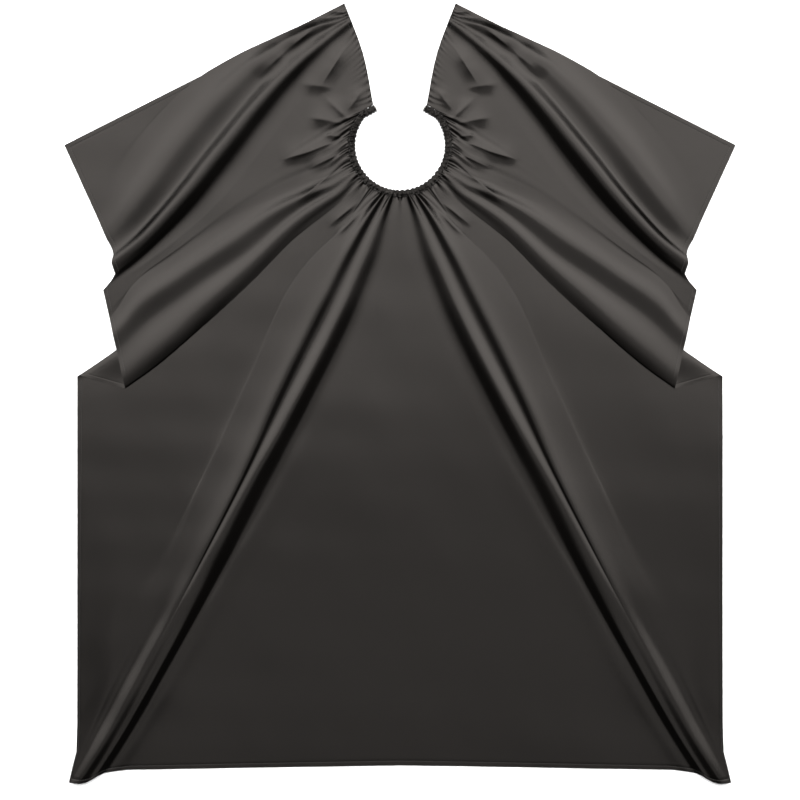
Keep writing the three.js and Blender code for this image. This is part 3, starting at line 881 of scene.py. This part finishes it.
turn = grain_angles(reach)
plan = whole[:, :, :2]
flat = np.stack([
    plan[:, :, 0] * np.cos(turn) + plan[:, :, 1] * np.sin(turn),
    plan[:, :, 1] * np.cos(turn) - plan[:, :, 0] * np.sin(turn),
], -1)
lay_flat(cape, flat.reshape(-1, 2))

# ---------------------------------------------------------------- neck casing

PUCKER_STEP = 8.0  # mean distance between the casing's puckers
CASING_STEP = 0.8  # distance between the mesh's rings
CASING_SIDES = 26
CASING_MIDDLE, CASING_HALF_HEIGHT = 3.0, 2.1
CASING_LOWEST, CASING_HIGHEST = 0.6, 7.6
TOP_PUCKER, EDGE_PUCKER, UNDER_PUCKER = 2.6, 1.6, 0.3  # how far they stand out, at most
ROW_OFFSET = 4.7  # the two stitched rows, each side of the middle line
LET_OUT = 1.4  # the casing's flat length, as a multiple of its gathered length


def casing_waves(run, draw):
    """Along the casing: how high its puckers stand at the inner row, the middle and the outer row."""
    count = int(run[-1] / PUCKER_STEP) + 3
    out = []
    for shift in (0.0, 0.5, 0.2):
        knots = np.concatenate([[0.0], np.cumsum(PUCKER_STEP * draw.uniform(0.6, 1.4, count))])
        size = draw.uniform(0.4, 1.0, count + 1)
        phase = np.interp(run, knots, np.arange(count + 1)) + shift
        crest = 2 * np.abs(np.cos(np.pi * phase)) ** 0.8 - 1
        out.append(crest * np.interp(phase, np.arange(count + 1), size))
    return out


casing_path, casing_out = casing_line()
casing_run = lengths(casing_path)
casing_at = np.arange(0, casing_run[-1], CASING_STEP)
casing_mid = np.stack([np.interp(casing_at, casing_run, casing_path[:, i]) for i in (0, 1)], -1)
casing_side = np.stack([np.interp(casing_at, casing_run, casing_out[:, i]) for i in (0, 1)], -1)
inner_wave, middle_wave, outer_wave = casing_waves(casing_at, draw)


def casing_top(across):
    """Height of the casing's top along it, at a distance across from the middle line (outward +)."""
    share = np.clip(np.abs(across) / (CASING_WIDTH / 2), 0, 1)
    wave = np.where(across < 0, inner_wave, outer_wave) * share + middle_wave * (1 - share)
    at_row = np.exp(-(((np.abs(across) - ROW_OFFSET) / 0.9) ** 2))
    dome = CASING_HALF_HEIGHT * (1 - share**2.6) ** 0.5
    puckers = TOP_PUCKER * wave * (1 - 0.4 * at_row) * (share < 1)
    return CASING_MIDDLE + dome * (1 - 0.25 * at_row) + puckers


def casing_mesh():
    """An open-ended tube of gathered cloth, its section flattened and puckered."""
    points, flat = [], []
    girth = np.linspace(0, 2 * np.pi, CASING_SIDES, endpoint=False)
    for angle in girth:
        reach_across = math.copysign(abs(math.cos(angle)) ** 0.7, math.cos(angle)) * CASING_WIDTH / 2
        edge_wave = inner_wave if reach_across < 0 else outer_wave
        edge = EDGE_PUCKER * edge_wave * abs(math.cos(angle)) ** 3 - 0.5
        across = reach_across + np.sign(reach_across) * edge
        if math.sin(angle) > 0:
            z = casing_top(np.full(len(casing_at), reach_across))
        else:
            below = CASING_HALF_HEIGHT * abs(math.sin(angle)) ** 0.8
            z = CASING_MIDDLE - below + UNDER_PUCKER * middle_wave
        place = casing_mid + casing_side * across[:, None]
        points.append(np.column_stack([place, np.clip(z, CASING_LOWEST, CASING_HIGHEST)]))
        flat.append(np.column_stack([casing_at * LET_OUT, np.full(len(casing_at), angle * 5.0)]))
    return np.stack(points, 1), np.stack(flat, 1)


def ring_faces(count, sides):
    """Quads of an open tube whose rings follow each other."""
    r, c = np.meshgrid(np.arange(count - 1), np.arange(sides), indexing="ij")
    a, b = r * sides + c, r * sides + (c + 1) % sides
    return np.stack([a, b, b + sides, a + sides], -1).reshape(-1, 4).tolist()


casing_points, casing_flat = casing_mesh()
casing_faces = ring_faces(len(casing_at), CASING_SIDES)
casing = mesh_object("neck_casing_cloth", casing_points.reshape(-1, 3), casing_faces, casing_cloth)
lay_flat(casing, casing_flat.reshape(-1, 2))
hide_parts("neck_casing")

# ---------------------------------------------------------------- stitches

STITCH, STITCH_PITCH = 3.1, 4.2  # a hem stitch's length, and the distance from one to the next
CASING_STITCH, CASING_PITCH = 2.5, 3.6
THREAD = 0.3  # the thread's half width


def stitch_row(name, node, path, normals, material, pitch=STITCH_PITCH, length=STITCH):
    """Separate stitches along a line on the cloth, each a short thread that dives in at its ends."""
    run = lengths(path)
    starts = np.arange(1.0, run[-1] - length, pitch)
    rings, sides = 6, 6
    share = np.linspace(0, 1, rings)
    vertices, faces = [], []
    round_angles = np.arange(sides) * 2 * np.pi / sides
    cap = [list(range(sides))[::-1], list(range((rings - 1) * sides, rings * sides))]
    body_faces = ring_faces(rings, sides)
    for index, start in enumerate(starts):
        at = start + share * length
        centre = np.stack([np.interp(at, run, path[:, i]) for i in range(3)], -1)
        up = np.stack([np.interp(at, run, normals[:, i]) for i in range(3)], -1)
        up /= np.linalg.norm(up, axis=1, keepdims=True)
        ahead = centre[-1] - centre[0]
        ahead /= max(np.linalg.norm(ahead), 1e-6)
        side = np.cross(ahead, up)
        side /= np.maximum(np.linalg.norm(side, axis=1, keepdims=True), 1e-6)
        arch = np.sin(np.pi * share)
        centre = centre + up * (THREAD * (1.3 * arch - 0.5))[:, None]
        radius = THREAD * (0.45 + 0.55 * arch)
        ring = (
            centre[:, None]
            + side[:, None] * (np.cos(round_angles)[None, :, None] * radius[:, None, None])
            + up[:, None] * (np.sin(round_angles)[None, :, None] * radius[:, None, None])
        )
        base = index * rings * sides
        vertices.append(ring.reshape(-1, 3))
        faces += [[base + i for i in face] for face in body_faces + cap]
    obj = mesh_object(name, np.concatenate(vertices), faces, material)
    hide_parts(node)


def grid_normals(grid):
    down = np.gradient(grid, axis=0)
    over = np.gradient(grid, axis=1)
    normal = np.cross(down, over)
    normal /= np.maximum(np.linalg.norm(normal, axis=2, keepdims=True), 1e-9)
    return normal * np.sign(normal[:, :, 2:].sum() + 1e-9)


seam_thread = thread_material("seam_thread", (0.017, 0.016, 0.015), 0.5, 0.4)
normals = grid_normals(whole)
SEAM = EDGE_COUNT - 2  # the index of the row or column at the seam's distance
# the columns where the seams start and end: between them the folds hide the hem
wing_end, tier_start = marks[WING_FIRST + 7], marks[WING_FIRST + 8]
tier_end, body_start = marks[PLEAT_FIRST + 7], marks[PLEAT_FIRST + 14]
body_end, bottom_start = marks[LONG_FIRST + 3], marks[LONG_FIRST + 5]
slit_end = int(np.searchsorted(reach, SLIT_REACH - 6))


def hem_run(first, last):
    """The hem's seam from one column to another, as row and column indices."""
    return np.full(last - first, rows - 1 - SEAM), np.arange(first, last)


def seam_runs():
    """Each seam's name, and its line on the left half as row and column indices."""
    down = np.arange(SEAM, rows - SEAM)
    return {
        "slit_seam": (np.full(slit_end - SEAM, SEAM), np.arange(SEAM, slit_end)),
        "top_seam": (down, np.full(len(down), SEAM)),
        "wing_seam": hem_run(SEAM, wing_end),
        "tier_seam": hem_run(tier_start, tier_end),
        "body_seam": hem_run(body_start, body_end),
    }


for name, (r, c) in seam_runs().items():
    stitch_row(name + "_left_stitches", name + "_left", whole[r, c], normals[r, c], seam_thread)
    other = columns - 1 - c
    stitch_row(name + "_right_stitches", name + "_right", whole[r, other], normals[r, other], seam_thread)
r, c = hem_run(bottom_start, columns - bottom_start)
stitch_row("bottom_seam_stitches", "bottom_seam", whole[r, c], normals[r, c], seam_thread)

upward = np.tile([0.0, 0.0, 1.0], (len(casing_at), 1))
for name, across in [("casing_seam_outer", ROW_OFFSET), ("casing_seam_inner", -ROW_OFFSET)]:
    top = casing_top(np.full(len(casing_at), across))
    line = np.column_stack([casing_mid + casing_side * across, top])
    stitch_row(name + "_stitches", name, line, upward, seam_thread, CASING_PITCH, CASING_STITCH)

# ---------------------------------------------------------------- elastic, hooks and their thread

frame["nodes"]["neck_elastic"].data.materials.clear()
frame["nodes"]["neck_elastic"].data.materials.append(elastic_material())
wire = wire_material()
tack_thread = thread_material("tack_thread", (0.62, 0.61, 0.58), 0.3, 0.5)
TACK_TURNS, TACK_LENGTH = 6, 7.4
TACK_THREAD, TACK_SIDES = 0.32, 8  # the thread's radius, and the sides of its mesh


def whip_stitches(side, joint):
    """Thread wound round a hook's inner bar and through the casing's end."""
    place = np.array(joint["pos_m"]) / MM
    bar = np.array(joint["axis"], float)
    toward_cloth = np.array([-1.0 if side == "left" else 1.0, 0, 0]) * abs(bar[1]) + np.array([0, -0.5, 0])
    toward_cloth /= np.linalg.norm(toward_cloth)
    t = np.linspace(0, 1, TACK_TURNS * 16 + 1)
    angle = 2 * np.pi * TACK_TURNS * t
    spine = (
        place
        + bar * ((t - 0.5) * TACK_LENGTH)[:, None]
        + toward_cloth * (0.35 + 1.55 * np.cos(angle))[:, None]
        + np.array([0, 0, 1.0]) * (1.25 * np.sin(angle))[:, None]
    )
    ahead = np.gradient(spine, axis=0)
    ahead /= np.linalg.norm(ahead, axis=1, keepdims=True)
    flat_side = np.cross(ahead, bar)
    flat_side /= np.linalg.norm(flat_side, axis=1, keepdims=True)
    other_side = np.cross(ahead, flat_side)
    angles = np.arange(TACK_SIDES) * 2 * np.pi / TACK_SIDES
    ring = (
        spine[:, None]
        + flat_side[:, None] * (np.cos(angles) * TACK_THREAD)[None, :, None]
        + other_side[:, None] * (np.sin(angles) * TACK_THREAD)[None, :, None]
    )
    faces = ring_faces(len(spine), TACK_SIDES)
    last_ring = (len(spine) - 1) * TACK_SIDES
    faces += [list(range(TACK_SIDES)), [last_ring + i for i in range(TACK_SIDES)][::-1]]
    obj = mesh_object("hook_tack_" + side + "_thread", ring.reshape(-1, 3), faces, tack_thread)
    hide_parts("hook_tack_" + side)


for joint in frame["record"]["behaviour"]["joints"]:
    side = joint["name"].split("_")[1]
    hook = frame["nodes"]["closure_hook_" + side]
    hook.data.materials.clear()
    hook.data.materials.append(wire)
    whip_stitches(side, joint)

# ---------------------------------------------------------------- floor and light


FLOOR = 4.0  # half its width, in metres


def make_floor():
    mesh = bpy.data.meshes.new("floor")
    corners = [(-FLOOR, -FLOOR, 0.0), (FLOOR, -FLOOR, 0.0), (FLOOR, FLOOR, 0.0), (-FLOOR, FLOOR, 0.0)]
    mesh.from_pydata(corners, [], [(0, 1, 2, 3)])
    material = bpy.data.materials.new("floor")
    material.use_nodes = True
    shader = material.node_tree.nodes["Principled BSDF"]
    shader.inputs["Base Color"].default_value = (0.93, 0.93, 0.93, 1)
    shader.inputs["Roughness"].default_value = 0.9
    mesh.materials.append(material)
    floor = bpy.data.objects.new("floor", mesh)
    bpy.context.scene.collection.objects.link(floor)


LIGHT_HEIGHT = 4.3
# the softboxes overhead: name, nearest and furthest Y and width in metres, radiance
SOFTBOXES = [
    ("low", -1.85, -0.8, 3.9, 2.1),
    ("middle", -0.8, 0.24, 16.0, 1.65),
    ("near", 0.24, 2.2, 16.0, 6.4),
    ("far", 2.2, 5.2, 16.0, 8.9),
]


def make_light():
    world = bpy.data.worlds.new("world")
    world.use_nodes = True
    world.node_tree.nodes["Background"].inputs["Color"].default_value = (1, 1, 1, 1)
    world.node_tree.nodes["Background"].inputs["Strength"].default_value = 0.0
    bpy.context.scene.world = world
    for name, front, back, width, radiance in SOFTBOXES:
        data = bpy.data.lights.new(name, "AREA")
        data.shape = "RECTANGLE"
        data.size, data.size_y = width, back - front
        data.energy = radiance * math.pi * width * (back - front)
        light = bpy.data.objects.new(name, data)
        light.location = (0, (front + back) / 2, LIGHT_HEIGHT)
        light.visible_camera = False
        bpy.context.scene.collection.objects.link(light)


make_floor()
make_light()
bpy.context.scene.view_settings.view_transform = "Standard"
